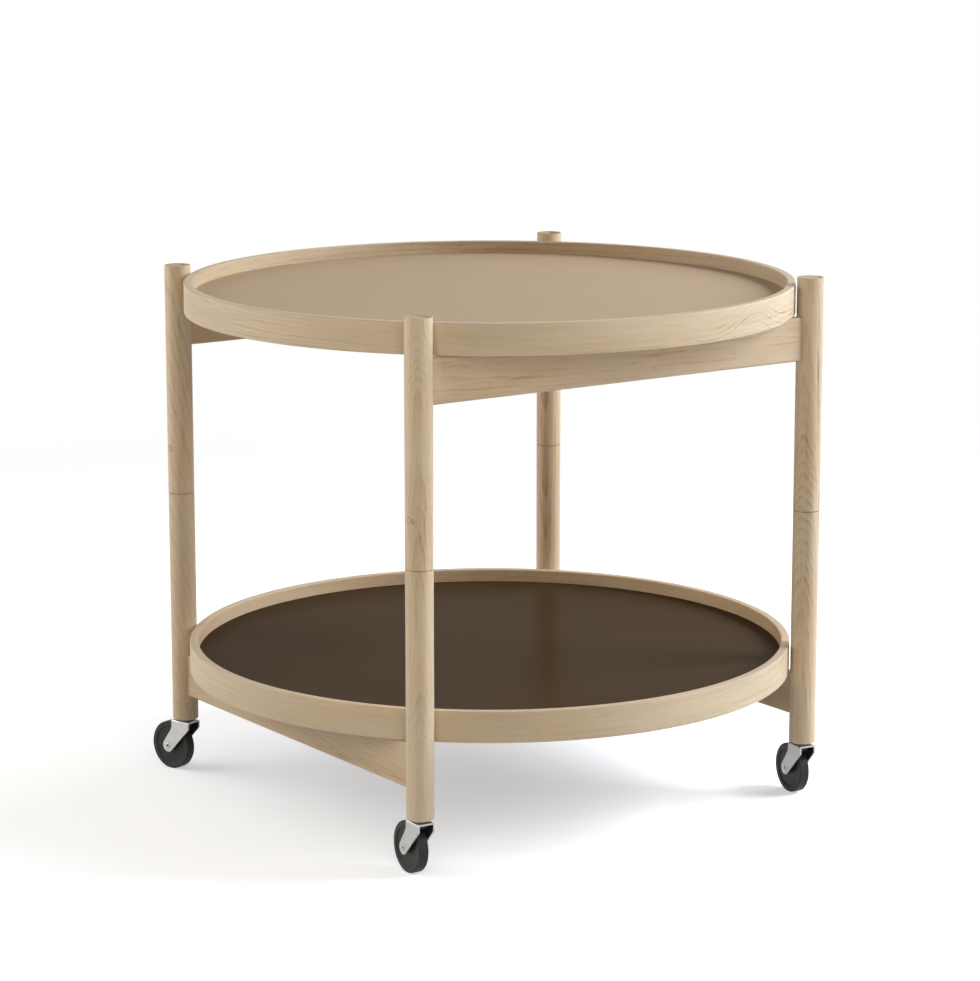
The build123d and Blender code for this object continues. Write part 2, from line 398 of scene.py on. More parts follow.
def bent_board(radius, scarf):
    """A hoop: the board is bent round Z, and its ends meet in a long scarf at this angle in degrees."""
    def board(wood, point):
        split = wood.node("SeparateXYZ", None, {"Vector": point})
        x, y, z = split.out("X"), split.out("Y"), split.out("Z")
        out = (x * x + y * y) ** 0.5
        lap = (radius - out) * (SCARF_LENGTH / RIM_THICKNESS / radius)
        turn = wood.math("ARCTAN2", y, x) - math.radians(scarf) - lap
        turn = wood.math("WRAP", turn, 2 * math.pi, 0.0)
        return turn * radius, z, out
    return board


RIM_THICKNESS = 8.5 * MM
SCARF_LENGTH = 70 * MM

# %% Oak's colours and rings
OAK_TONES = [
    (0.00, (0.610, 0.495, 0.350)),
    (0.40, (0.525, 0.408, 0.272)),
    (0.75, (0.396, 0.279, 0.163)),
    (1.00, (0.235, 0.142, 0.072)),
]
COOL_TINT = (0.990, 1.006, 1.025)
WARM_TINT = (1.014, 0.990, 0.965)
# The warm tint is painted warm shade, for pieces and faces that sit in shade.
SHADE_WARM_TINT = (1.060, 0.920, 0.790)


def greys(*stops):
    """A ramp's stops, from positions and levels of grey."""
    return [(position, (level,) * 3) for position, level in stops]


EARLY_WOOD = greys((0, 1), (0.16, 0.6), (0.42, 0.16), (0.8, 0), (0.95, 0.25), (1, 1))
SOFT_WOOD = greys((0, 1), (0.20, 0.72), (0.50, 0.30), (0.80, 0.05), (0.93, 0.45), (1, 1))
SWAY = (14 * MM, -9 * MM)
STRAIGHTER = 0.85

# %% Knots
def grown_round(wood, point, distance, knots):
    """Rings pushed aside by knots, and the ring and core that each knot shows."""
    spots = 0.0
    for x, y, z, size, darkness in knots:
        distance = distance + wood.near(point, (x, y, z), 2.4 * size) * (1.1 * size)
        gap = wood.reach(point, (x, y, z)) / size
        ringed = wood.math("EXPONENT", (gap - 1) * (gap - 1) * -12.0)
        spots = spots + (ringed + 0.6 - wood.step(gap, 0.2, 0.9) * 0.6) * darkness
    return distance, spots


# %% Oak
def oak(name, board, heart, drift, seed, ring=3.0 * MM, bold=1.0, tone=0.0, steady=0.0, shade_warmth=0.0,
        wild=(), dark_figure_and_painted_shade=(), knots=(), bends=(), staves=None, inside=None):
    """Oak for one piece, as solid wood. Its heart and drift are given across and through the board."""
    material, wood = new_finish(name)
    point = wood.node("TexCoord", output="Object")
    along, across, through = board(wood, point)
    shift = seed
    straight = 0.0
    if staves:
        side = wood.math("GREATER_THAN", across * staves[0] + through * staves[1], staves[2])
        shift = side * 0.37 + seed
        straight = side * STRAIGHTER
    grain = wood.node("CombineXYZ", None, {"X": along + shift, "Y": across, "Z": through})
    sway = wood.noise(grain, (2.2, 14, 14), 1.0)
    ripple = wood.noise(grain, (17, 95, 95), 2.5, 0.6)
    slope = along * (1 - straight)
    from_heart = across - heart[0] - slope * drift[0] + sway * SWAY[0]
    in_depth = through - heart[1] - slope * drift[1] + sway * SWAY[1]
    distance = (from_heart * from_heart + in_depth * in_depth) ** 0.5 + ripple * (ring * (1 + steady))
    for low, high, change in bends:
        distance = distance + wood.step(along, low, high) * (1 - straight) * change
    distance, spots = grown_round(wood, point, distance, knots)
    strength = wood.patches(point, wild) + bold
    # Darker patches: dark figure on a leg, but painted shade on a hoop's outer face.
    painted_shade_and_figure_tone = wood.patches(point, dark_figure_and_painted_shade)
    rings = distance / ring
    phase = wood.math("FRACT", rings)
    year = wood.node("TexWhiteNoise", {"noise_dimensions": "1D"}, {"W": wood.math("FLOOR", rings)})
    broken = wood.step(wood.noise(grain, (34, 330, 330), 2.0), -0.22, 0.22)
    early = wood.ramp(phase, SOFT_WOOD if steady else EARLY_WOOD)
    early = early * wood.raised(broken, 0.15 + 0.5 * steady)
    pores = wood.step(wood.noise(grain, (150, 2300, 2300), 1.0), 0.10, 0.20) * (early * 0.75 + 0.25)
    fibre = wood.noise(grain, (22, 800, 800), 3.0, 0.6)
    streaks = wood.noise(grain, (9, 260, 260), 2.0)
    clouds = wood.noise(grain, (5, 42, 42), 2.0)
    flecks = wood.step(wood.noise(grain, (95, 900, 900), 2.0), 0.09, 0.24)
    blush = wood.step(wood.noise(grain, (10, 70, 70), 1.0), -0.16, 0.16)
    edge = wood.worn_edge()
    figure = wood.step(wood.noise(grain, (3.5, 30, 30), 1.0), -0.20, 0.24)
    figure = wood.raised(figure, 0.25 + 0.4 * steady)
    year = year * (0.55 - 0.35 * steady) + (0.14 + 0.3 * steady)
    dark = (early * year + streaks * 0.70) * figure * strength
    dark = dark + pores * 0.22 + flecks * 0.24 + fibre * 0.40 + clouds * 0.75
    dark = dark + spots - edge * 0.10 + (0.25 + tone)
    # A hoop's inner face: painted shade, painted warm shade and patches of painted light.
    if inside:
        inner_radius, inner_painted_shade, inner_shade_warmth, inner_painted_light = inside
        inner = wood.math("LESS_THAN", through, inner_radius)
        painted_shade_and_figure_tone = painted_shade_and_figure_tone * (1 - inner) + (wood.patches(point, inner_painted_light) + inner_painted_shade) * inner
        shade_warmth = inner * inner_shade_warmth
    dark = dark + painted_shade_and_figure_tone
    end = 0.0
    if staves:
        up = wood.node("SeparateXYZ", None, {"Vector": wood.node("TexCoord", output="Normal")}).out("Z")
        end = wood.step(up * up, 0.5, 0.9)
        dark = dark + end * (side * 0.50 + 0.10) + side * staves[3]
    colour = wood.ramp(dark, OAK_TONES)
    colour = wood.blend(blush, wood.tint(colour, COOL_TINT), wood.tint(colour, WARM_TINT))
    # Painted warm shade: a warmer colour on pieces and faces that sit in shade.
    colour = wood.blend(shade_warmth, colour, wood.tint(colour, SHADE_WARM_TINT))
    height = 0.6 - pores * 0.5 - early * 0.12 + fibre * 0.25
    wood.surface(
        Base_Color=colour,
        Roughness=0.50 + pores * 0.2 + fibre * 0.15 - edge * 0.08 + end * 0.25,
        Specular_IOR_Level=0.22,
        Normal=wood.bump(height, 0.06 * MM, 0.6),
    )
    return material


# %% [markdown]
# ## Rails
# Each rail is a slat on edge, 44 by 7.5 mm, with well rounded edges. The upper pair runs left to
# right and the lower pair front to back, and their ends are buried in the legs. A bar of one
# section is all that they are, so the figure of the wood does the rest. They are made before the
# legs, because the legs' mortises are cut with them.

# %% Rails
RAIL_SIZE = (7.5 * MM, 44 * MM)
RAIL_EDGE = 3 * MM


def slat_outline(spare=0.0):
    """The rail's section, about its middle, with a little to spare for a mortise."""
    wide, high = RAIL_SIZE[0] / 2 + spare, RAIL_SIZE[1] / 2 + spare
    edge = RAIL_EDGE + spare
    outline = []
    for sign_y, sign_z, start in ((1, 1, 0), (-1, 1, 90), (-1, -1, 180), (1, -1, 270)):
        outline += arc((sign_y * (wide - edge), sign_z * (high - edge)), edge, start, start + 90, 8)
    return outline


def slat(name, node, spare=0.0):
    """A rail, or the tool for its mortises, where the CAD node lies."""
    low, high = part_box(node)
    middle = (low + high) / 2
    runs_x = (high.x - low.x) > (high.y - low.y)
    half = max(high.x - low.x, high.y - low.y) / 2 + spare
    turn = Matrix.Identity(4) if runs_x else Matrix.Rotation(math.radians(90), 4, "Z")
    return move(bar(name, slat_outline(spare), -half, half), Matrix.Translation(middle) @ turn)


# Each rail: the way it runs, then its oak's heart, drift, seed and warm tint, which is painted warm shade.
RAILS = {
    "upper_rail_front": ("x", (0.486, -0.262), (0.010, 0.030), 0.0, 0.20),
    "upper_rail_back": ("x", (0.430, 0.170), (0.020, -0.020), 3.1, 0.60),
    "lower_rail_left": ("y", (0.070, -0.300), (0.020, 0.060), 5.7, 0.40),
    "lower_rail_right": ("y", (0.120, 0.280), (0.030, 0.030), 8.2, 0.60),
}
for name, (direction, heart, drift, seed, shade_warmth) in RAILS.items():
    rail = soften(slat(name + "_slat", name))
    wood = oak("oak_" + name, rail_board(direction), heart, drift, seed, bold=1.2, tone=0.05, shade_warmth=shade_warmth)
    fit(rail, "root", name, wood)
print("rails:", len(RAILS))

# %% [markdown]
# ## Legs
# A leg is two plain turned bars, screwed together at a fine dark seam. The seam shows because both
# ends have a shallow rebate, a quarter of a millimetre deep, and the top is eased more. Each bar is
# spun from its profile, bores for the hardware inside and all, and then the rail's shape, a hair
# larger, is taken out of it as the mortise. Every leg is glued up from two staves, so its end
# shows two tones, and its figure changes where they meet. The photograph shows each leg's figure
# well, so each leg's oak is described by itself.

# %% The legs' oak
# Each knot: its place, its size and how dark it is.
KNOTS = {
    "leg_upper_back_left": [
        (-0.2417, 0.2140, 0.3376, 2.9 * MM, 0.55),
    ],
    "leg_upper_front_left": [
        (-0.2418, -0.2180, 0.3381, 2.8 * MM, 0.40),
        (-0.2263, -0.2282, 0.5130, 0.7 * MM, 0.5),
    ],
    "leg_lower_front_left": [
        (-0.2263, -0.2282, 0.2840, 0.7 * MM, 0.5),
        (-0.2314, -0.2283, 0.1366, 0.8 * MM, 0.5),
    ],
    "leg_upper_front_right": [
        (0.2197, -0.2246, 0.5160, 0.7 * MM, 0.5),
        (0.2225, -0.2268, 0.3300, 0.8 * MM, 0.4),
    ],
}
# A leg's warm tint is painted warm shade, most on the back legs, which stand in the trays' shade.
LEG_OAK = {
    "front_left": {
        "heart": (0.035, 0.050), "drift": (-0.010, -0.014), "ring": 1.8 * MM,
        "bold": 0.85, "tone": -0.21, "shade_warmth": 0.0, "staves": (0.985, 0.173, 0.0, 0.0),
        "bends": [(0.45, 0.515, -9 * MM), (0.28, 0.40, -4 * MM), (0.10, 0.22, -6 * MM)],
        "wild": [((-0.2365, -0.2262, 0.475), 0.040, 0.8), ((-0.2365, -0.2262, 0.330), 0.060, 0.5)],
        "dark_figure_and_painted_shade": [((-0.2375, -0.2254, z), 11 * MM, 0.16) for z in (0.372, 0.354, 0.336, 0.318, 0.300)],
    },
    "front_right": {
        "heart": (0.093, 0.065), "drift": (-0.041, -0.029), "ring": 3.0 * MM,
        # Its second stave is lighter: painted light on the lit right-hand strip of the leg.
        "bold": 1.1, "tone": -0.12, "shade_warmth": 0.12, "staves": (0.819, -0.574, 7.0 * MM, -0.12),
        "bends": [(0.17, 0.43, -40 * MM)],
        "wild": [((0.2233, -0.2272, 0.330), 0.065, 0.8), ((0.2200, -0.2250, 0.440), 0.045, 1.1)],
    },
    "back_right": {
        "heart": (0.050, 0.040), "drift": (0.020, 0.030), "ring": 2.4 * MM,
        "bold": 1.1, "tone": -0.12, "shade_warmth": 0.45, "staves": (0.819, -0.574, 0.0, 0.0),
    },
    "back_left": {
        "heart": (0.193, -0.052), "drift": (-0.230, 0.062), "ring": 6.0 * MM,
        "bold": 1.0, "tone": -0.26, "shade_warmth": 0.25, "staves": (0.985, 0.173, 2.0 * MM, 0.0),
        "wild": [((-0.2365, 0.2050, 0.400), 0.060, 0.6)],
    },
}
LEG_STEADY = 0.6
SEED_START = 5
SEED_STEP = 11.3

# %% Turned halves
FOOT_EASE = 0.5 * MM
TOP_EASE = 0.8 * MM
SEAM_EASE = 0.18 * MM
SHADOW_GAP = 0.27 * MM
REBATE = 1.6 * MM
INSERT_HOLE = (5.8 * MM, 20.05 * MM)
STUD_HOLE = (4.05 * MM, 28.05 * MM)


def eased_end(end, ease, inward):
    """The corner between a leg's side and its end, as arc points from the side to the end."""
    turn = -90 if inward > 0 else 90
    return arc((leg_radius - ease, end + inward * ease), ease, 0, turn)


def blind_hole(end, hole, inward):
    """A hole bored into an end, as points from its mouth to its floor."""
    radius, depth = hole
    return [(radius, end), (radius, end + inward * depth), (0, end + inward * depth)]


def seam_end(inward, hole):
    """The end at the seam: a small corner, then a shallow rebate, which leaves the fine dark line."""
    face = leg_seam + inward * SHADOW_GAP
    rebate = [(leg_radius - REBATE, face), (leg_radius - REBATE, leg_seam)]
    return eased_end(face, SEAM_EASE, inward) + rebate + blind_hole(leg_seam, hole, inward)


def turned_half(name, half):
    """A bar, from its lower end to its upper one, bored for the hardware inside."""
    if half == "lower":
        low_end = eased_end(leg_foot, FOOT_EASE, 1) + blind_hole(leg_foot, INSERT_HOLE, 1)
        high_end = seam_end(-1, INSERT_HOLE)
    else:
        low_end = seam_end(1, STUD_HOLE)
        high_end = eased_end(leg_top, TOP_EASE, -1) + [(0, leg_top)]
    return spin(name, low_end[::-1] + high_end, 128)


def rail_into(half, place):
    """The rail whose end is let into this half of a leg."""
    if half == "upper":
        return "upper_rail_" + place.split("_")[0]
    return "lower_rail_" + place.split("_")[1]


# %% Legs
for index, place in enumerate(PLACES):
    seed = SEED_START + SEED_STEP * index
    for half in ("upper", "lower"):
        node = "leg_" + half + "_" + place
        leg = move(turned_half(node + "_turned", half), Matrix.Translation(leg_axis[place]))
        carve(leg, slat("mortise_tool", rail_into(half, place), 0.05 * MM), "DIFFERENCE")
        board = upright_board(place)
        knots = KNOTS.get(node, ())
        wood = oak("oak_" + node, board, seed=seed, knots=knots, steady=LEG_STEADY, **LEG_OAK[place])
        fit(soften(leg), "root", node, wood)
print("legs:", 2 * len(PLACES), "turned halves")

# %% [markdown]
# ## Tray rims
# A rim is one long strip of oak, 30 by 8.5 mm, bent to a hoop and glued end over end in a scarf.
# Its grain runs round the hoop, which no straight block of wood could show, so its finish unrolls
# the hoop before it looks for rings. The groove inside holds the panel's core. Its inner face gets
# painted shade, with patches of painted light, and on the lower hoop painted warm shade too. Its
# right-hand side outside is darker with painted shade.

# %% Tray rims
RIM_RADIUS = 299.98 * MM
RIM_EDGE = 1.2 * MM
GROOVE = (3.5 * MM, 1.45 * MM)
INNER_FACE = RIM_RADIUS - RIM_THICKNESS + RIM_EDGE / 2


def rim_profile(low, high):
    """The hoop's section: four eased edges, and the groove halfway up its inner face."""
    outer, inner = RIM_RADIUS, RIM_RADIUS - RIM_THICKNESS
    middle = (low + high) / 2
    profile = arc((outer - RIM_EDGE, low + RIM_EDGE), RIM_EDGE, -90, 0)
    profile += arc((outer - RIM_EDGE, high - RIM_EDGE), RIM_EDGE, 0, 90)
    profile += arc((inner + RIM_EDGE, high - RIM_EDGE), RIM_EDGE, 90, 180)
    profile += [(inner, middle + GROOVE[1]), (inner + GROOVE[0], middle + GROOVE[1])]
    profile += [(inner + GROOVE[0], middle - GROOVE[1]), (inner, middle - GROOVE[1])]
    profile += arc((inner + RIM_EDGE, low + RIM_EDGE), RIM_EDGE, 180, 270)
    return profile


# Where each hoop's scarf lies, in degrees.
SCARFS = {"upper_tray": 222.7, "lower_tray": 130}
RIM_OAK = {
    "upper_tray": {
        "heart": (0.524, 0.252), "drift": (0.004, 0.012), "seed": 21.0,
        "wild": [((0.150, -0.260, 0.500), 0.110, 0.9), ((-0.295, -0.055, 0.500), 0.100, 0.9)],
        "knots": [(0.010, -0.300, 0.487, 4.5 * MM, 0.10), (0.106, -0.281, 0.483, 15 * MM, 0.0)],
        # Painted shade: the outer face darker on the right-hand side, where the lamp falls.
        "dark_figure_and_painted_shade": [((0.290, 0.080, 0.500), 0.20, 0.42)],
        # Inner face: painted shade, with patches of painted light.
        "inside": (INNER_FACE, 0.42, 0.0, [
            ((-0.120, 0.262, 0.500), 0.15, -0.24),
            ((0.286, -0.050, 0.500), 0.17, -0.22),
        ]),
    },
    "lower_tray": {
        "heart": (0.165, 0.250), "drift": (0.004, -0.010), "seed": 34.0,
        "wild": [((0.100, -0.282, 0.140), 0.120, 0.7)],
        "knots": [(-0.150, -0.260, 0.128, 9 * MM, 0.0), (0.062, -0.293, 0.126, 5 * MM, 0.10)],
        # Painted shade: the outer face darker on the right-hand side, where the lamp falls.
        "dark_figure_and_painted_shade": [((0.290, 0.080, 0.140), 0.20, 0.26)],
        # Inner face: painted shade and painted warm shade, with a patch of painted light.
        "inside": (INNER_FACE, 0.20, 0.6, [
            ((-0.120, 0.262, 0.140), 0.17, -0.40),
        ]),
    },
}
for tray, scarf in SCARFS.items():
    node = tray + "_rim"
    low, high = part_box(node)
    hoop = soften(spin(node + "_hoop", rim_profile(low.z, high.z), 384, closed=True))
    board = bent_board(RIM_RADIUS, scarf)
    wood = oak("oak_" + node, board, ring=3.5 * MM, bold=0.6, tone=-0.11, **RIM_OAK[tray])
    fit(hoop, tray, node, wood)
    print(node, "from", round(low.z, 4), "to", round(high.z, 4))

# %% [markdown]
# ## Tray panels
# The panel is a thin plywood core, faced on both sides with smooth satin sheet: warm beige above,
# dark brown below. The CAD discs have the right shape, so they stay and only get a finish. The
# sheet is nearly plain. What keeps it from looking like paint is a faint unevenness in its
# sheen, a very fine texture, and a few hairline marks from use.

# %% Laminate and plywood
def laminate(name, colour, sheen):
    """Satin sheet: an even colour under a thin, soft shine."""
    material, sheet = new_finish(name)
    point = sheet.node("TexCoord", output="Object")
    speck = sheet.noise(point, (900, 900, 900), 2.0)
    cloud = sheet.noise(point, (6, 6, 6), 3.0)
    marks = sheet.step(sheet.noise(point, (9, 340, 9), 2.0), 0.20, 0.28)
    tint = sheet.scale(colour, 1 + speck * 0.06 + cloud * 0.05)
    sheet.surface(
        Base_Color=tint,
        Roughness=0.50 + cloud * 0.10 + marks * 0.05,
        Specular_IOR_Level=0.0,
        Coat_Weight=sheen + cloud * (0.3 * sheen),
        Coat_Roughness=0.24,
        Normal=sheet.bump(speck + 0.5, 0.01 * MM, 0.5),
    )
    return material


def plywood(name):
    """The core's layers, light and dark, which show only at its edge."""
    material, ply = new_finish(name)
    point = ply.node("TexCoord", output="Object")
    height = ply.node("SeparateXYZ", None, {"Vector": point}).out("Z")
    layer = ply.math("FRACT", height / (1.4 * MM))
    streak = ply.noise(point, (20, 500, 500), 2.0)
    dark = ply.step(layer, 0.45, 0.55) * 0.5 + streak * 0.4 + 0.2
    colour = ply.ramp(dark, [(0.0, (0.60, 0.46, 0.30)), (1.0, (0.36, 0.25, 0.14))])
    ply.surface(Base_Color=colour, Roughness=0.65 + streak * 0.1, Normal=ply.bump(streak + 0.5, 0.05 * MM))
    return material


def finish_cad(node, material):
    """Give a CAD node that keeps its own shape a better finish."""
    frame["nodes"][node].material_slots[0].material = material


SHEETS = {
    "upper_tray": laminate("beige_laminate", (0.555, 0.414, 0.274), 0.12),
    "lower_tray": laminate("brown_laminate", (0.060, 0.037, 0.018), 0.09),
}
core_finish = plywood("plywood_core")
for tray, sheet_finish in SHEETS.items():
    finish_cad(tray + "_top_laminate", sheet_finish)
    finish_cad(tray + "_bottom_laminate", sheet_finish)
    finish_cad(tray + "_panel_core", core_finish)
print("panels:", len(SHEETS))

# %% [markdown]
# ## Metal and moulded parts
# The fork and its small parts are pressed steel with a thin zinc plate: grey rather than mirror
# bright, with a cloudy sheen and fine lines from rolling. The hub is moulded in dark grey plastic
# and the tread in harder black, a little dusty where it meets the floor.

# %% Zinc, brass, nylon, plastic and tread
def zinc(name, base=0.43, rough=0.50):
    """Zinc plate: cloudy, with fine rolling lines and small rubs."""
    material, plate = new_finish(name)
    point = plate.node("TexCoord", output="Object")
    cloud = plate.noise(point, (160, 160, 160), 3.0)
    lines = plate.noise(point, (500, 500, 6000), 2.0)
    rubs = plate.step(plate.noise(point, (900, 900, 300), 2.0), 0.16, 0.26)
    edge = plate.worn_edge()
    colour = plate.scale((base, base * 0.99, base * 0.965), 1 + cloud * 0.18 + lines * 0.10 + rubs * 0.12)
    plate.surface(
        Base_Color=colour,
        Metallic=1.0,
        Roughness=rough + cloud * 0.14 + lines * 0.10 - rubs * 0.08 - edge * 0.05,
        Normal=plate.bump(lines + 0.5, 0.01 * MM, 0.6),
    )
    return material


def moulded(name, colour, rough, dust=0.0):
    """Moulded plastic with a fine spark-eroded texture, and patches of dust on a tread."""
    material, plastic = new_finish(name)
    point = plastic.node("TexCoord", output="Object")
    pebble = plastic.noise(point, (2600, 2600, 2600), 2.0)
    cloud = plastic.noise(point, (120, 120, 120), 2.0)
    edge = plastic.worn_edge()
    dusty = plastic.step(cloud, -0.15, 0.35) * dust + edge * 0.05
    plastic.surface(
        Base_Color=plastic.blend(dusty, (*colour, 1), (0.16, 0.15, 0.135, 1)),
        Roughness=rough + pebble * 0.10 + cloud * 0.10 - edge * 0.06,
        Specular_IOR_Level=0.26,
        Normal=plastic.bump(pebble + 0.5, 0.02 * MM, 0.6),
    )
    return material


def turned_brass(name):
    """Brass inserts, with the rings that the tool leaves."""
    material, brass = new_finish(name)
    point = brass.node("TexCoord", output="Object")
    rings = brass.noise(point, (30, 30, 5000), 1.0)
    brass.surface(
        Base_Color=brass.scale((0.60, 0.44, 0.20), 1 + rings * 0.2),
        Metallic=1.0,
        Roughness=0.32 + rings * 0.2,
        Normal=brass.bump(rings + 0.5, 0.01 * MM),
    )
    return material


zinc_plate = zinc("zinc_plate")
zinc_pin = zinc("zinc_pin", 0.44, 0.32)
# The black finish is painted shade: inside the fork's U, on the ball cups and in the rivets' eyes.
painted_shade_black = moulded("painted_shade_inside", (0.016, 0.017, 0.016), 0.50)
ball_steel = zinc("ball_steel", 0.60, 0.18)
hub_plastic = moulded("hub_plastic", (0.012, 0.012, 0.011), 0.50)
tread_plastic = moulded("tread_plastic", (0.013, 0.014, 0.013), 0.55, 0.06)
nylon_white = moulded("nylon_white", (0.62, 0.61, 0.56), 0.45)
brass_finish = turned_brass("brass_insert")
finish_cad("leg_joint_studs", zinc_pin)
finish_cad("leg_joint_inserts", brass_finish)
finish_cad("caster_inserts", brass_finish)
for place in PLACES:
    finish_cad("caster_kingpin_" + place, zinc_pin)
    # The ball cup gets the black finish: painted shade in place of its bright reflection.
    finish_cad("caster_ball_cup_" + place, painted_shade_black)
    finish_cad("caster_balls_" + place, ball_steel)
    finish_cad("caster_thrust_washer_" + place, nylon_white)

# %% [markdown]
# ## Caster forks
# The fork is one strip, bent to a U over the wheel and stamped to shape seen from the side: upright
# at the top, then swept back to an eye round the axle. It is made here the same way. The bent strip
# is a bar, the side view is a second bar across it, and the fork is what they share. The kingpin
# and the rivet pass through drilled holes. A fine bevel then breaks the sheet's cut edges, which
# are the bright lines in the photograph. The inside of the U shows black there, so its faces get a
# black finish: painted shade, in place of the shade and dark reflection inside the U.

# %% Fork outline
TRAIL = 17.8 * MM
AXLE_HEIGHT = 24.75 * MM
FORK_TOP = 53.5 * MM
EYE = 6.7 * MM
FRONT = (11.4 * MM, 45.7 * MM)
REAR = (-12 * MM, 44.5 * MM)
ON_AXLE = Matrix.Rotation(math.radians(90), 4, "X")


def touch(point, centre, radius, side):
    """The angle, in degrees, at which a line from a point touches a circle."""
    across, up = point[0] - centre[0], point[1] - centre[1]
    away = math.degrees(math.acos(radius / math.hypot(across, up)))
    return math.degrees(math.atan2(up, across)) + side * away


def blended(before, corner, after, radius, steps=8):
    """A corner between two lines, rounded to a radius."""
    corner = Vector(corner)
    back = (Vector(before) - corner).normalized()
    on = (Vector(after) - corner).normalized()
    half = back.angle(on) / 2
    middle = corner + (back + on).normalized() * (radius / math.sin(half))
    first = corner + back * (radius / math.tan(half)) - middle
    last = corner + on * (radius / math.tan(half)) - middle
    start = math.degrees(math.atan2(first.y, first.x))
    turn = math.degrees(math.atan2(last.y, last.x)) - start
    turn = (turn + 180) % 360 - 180
    return arc(middle, radius, start, start + turn, steps)


def fork_outline():
    """The side view, as (forward, height) points about the kingpin's axis."""
    eye_centre = (-TRAIL, AXLE_HEIGHT)
    front_angle = touch(FRONT, eye_centre, EYE, -1)
    rear_angle = touch(REAR, eye_centre, EYE, 1)
    round_eye = arc(eye_centre, EYE, front_angle, rear_angle - 360, 40)
    outline = [(REAR[0], FORK_TOP), (FRONT[0], FORK_TOP)]
    outline += blended((FRONT[0], FORK_TOP), FRONT, round_eye[0], 3 * MM)
    outline += round_eye
    outline += blended(round_eye[-1], REAR, (REAR[0], FORK_TOP), 12 * MM, 12)
    return outline


# %% Forks
FORK_HALF = 8.75 * MM
SHEET = 1.7 * MM
BEND = 1.7 * MM
INNER_BEND = 0.6 * MM
PIN_HOLE = 3.06 * MM
AXLE_HOLE = 2.03 * MM
BROKEN_EDGE = 0.18 * MM
SWAP_XY = Matrix(((0, 1, 0, 0), (1, 0, 0, 0), (0, 0, 1, 0), (0, 0, 0, 1)))


def drill(radius, low, high, segments):
    """A plain round bar, to take a hole out of a piece with."""
    return spin("drill", [(0, low), (radius, low), (radius, high), (0, high)], segments)


def fork():
    """One fork, facing along X, with its kingpin on the Z axis."""
    half, top, bend = FORK_HALF - SHEET, FORK_TOP - SHEET, INNER_BEND
    section = [(FORK_HALF, 0)] + arc((FORK_HALF - BEND, FORK_TOP - BEND), BEND, 0, 90)
    section += arc((BEND - FORK_HALF, FORK_TOP - BEND), BEND, 90, 180) + [(-FORK_HALF, 0)]
    section += [(-half, 0)] + arc((bend - half, top - bend), bend, 180, 90, 3)
    section += arc((half - bend, top - bend), bend, 90, 0, 3) + [(half, 0)]
    strip = bar("fork_strip", section, -40 * MM, 30 * MM)
    side = bar("fork_side", fork_outline(), -20 * MM, 20 * MM)
    side.data.transform(SWAP_XY)
    side.data.flip_normals()
    pressed = carve(strip, side, "INTERSECT")
    pin = drill(PIN_HOLE, 0.8 * FORK_TOP, 1.1 * FORK_TOP, 48)
    axle = drill(AXLE_HOLE, -2 * FORK_HALF, 2 * FORK_HALF, 32)
    move(axle, Matrix.Translation((-TRAIL, 0, AXLE_HEIGHT)) @ ON_AXLE)
    carve(pressed, pin, "DIFFERENCE")
    return carve(pressed, axle, "DIFFERENCE")


def break_edges(obj, width):
    """A fine bevel on every corner, kept in the mesh."""
    bevel = obj.modifiers.new("broken_edge", "BEVEL")
    bevel.width = width
    bevel.segments = 2
    bevel.limit_method = "ANGLE"
    bevel.angle_limit = math.radians(45)
    bevel.use_clamp_overlap = False
    return applied(obj)


def caster_place(place):
    """Where a caster's own directions lie in the frame."""
    return Matrix.Translation(leg_axis[place]) @ Matrix.Rotation(heading[place], 4, "Z")


def faces_in_shaded_u(face):
    """True for a face inside the U, and False for the outside and the sheet's cut edges."""
    spare = 0.02 * MM
    half, top = FORK_HALF - SHEET + spare, FORK_TOP - SHEET + spare
    within = abs(face.center.y) < half and face.center.z < top
    ceiling = face.center.z > top - 5 * spare and face.normal.z < -0.9
    return within and abs(face.normal.x) < 0.1 and (abs(face.normal.y) > 0.1 or ceiling)


for place in PLACES:
    node = "caster_fork_" + place
    pressed = break_edges(fork(), BROKEN_EDGE)
    pressed.name = node + "_pressed"
    # The faces inside the U get the black finish: painted shade.
    shaded_faces = [face.index for face in pressed.data.polygons if faces_in_shaded_u(face)]
    fit(soften(move(pressed, caster_place(place))), "swivel_" + place, node, zinc_plate)
    paint(pressed, shaded_faces, painted_shade_black)
print("fork faces:", len(pressed.data.polygons), "of which inside:", len(shaded_faces))

# %% [markdown]
# ## Wheels and axles
# A wheel is a moulded disc, sunk a little between a raised ring and the boss round its bore, with a
# harder tread moulded over it. It turns on a tubular rivet, whose rolled ends have a small eye. All
# three are lathe work about the axle, so their profiles are drawn once, for one side, and mirrored.

# %% Wheel and rivet profiles
def across_axle(half):
    """Mirror one side's (radius, distance from the wheel's middle) points, to close the ring."""
    return half + [(radius, -out) for radius, out in reversed(half)]


def mm(points):
    """Points given in millimetres, as metres."""
    return [(radius * MM, out * MM) for radius, out in points]


HUB_SIDE = mm(
    [(2.06, 6.45), (2.36, 6.75)] + arc((5.1, 6.35), 0.4, 90, 0, 4) + arc((6.1, 4.7), 0.6, 180, 270, 5)
    + arc((18.7, 4.9), 0.8, 270, 350, 6) + arc((19.72, 4.85), 0.15, 180, 90, 3) + [(20.38, 5.0)]
)
TYRE_SIDE = mm([(20.42, 5.0)] + arc((23.75, 4.0), 1.0, 90, 0, 8) + [(24.748, 1.2)])
RIVET_EYE = 1.2 * MM
RIVET_SIDE = mm(
    [(2.0, 8.75), (2.7, 8.75)] + arc((2.5, 9.1), 0.4, -60, 70, 6)
    + arc((1.75, 8.92), 0.55, 75, 180, 7) + [(1.2, 7.2), (0, 6.9)]
)

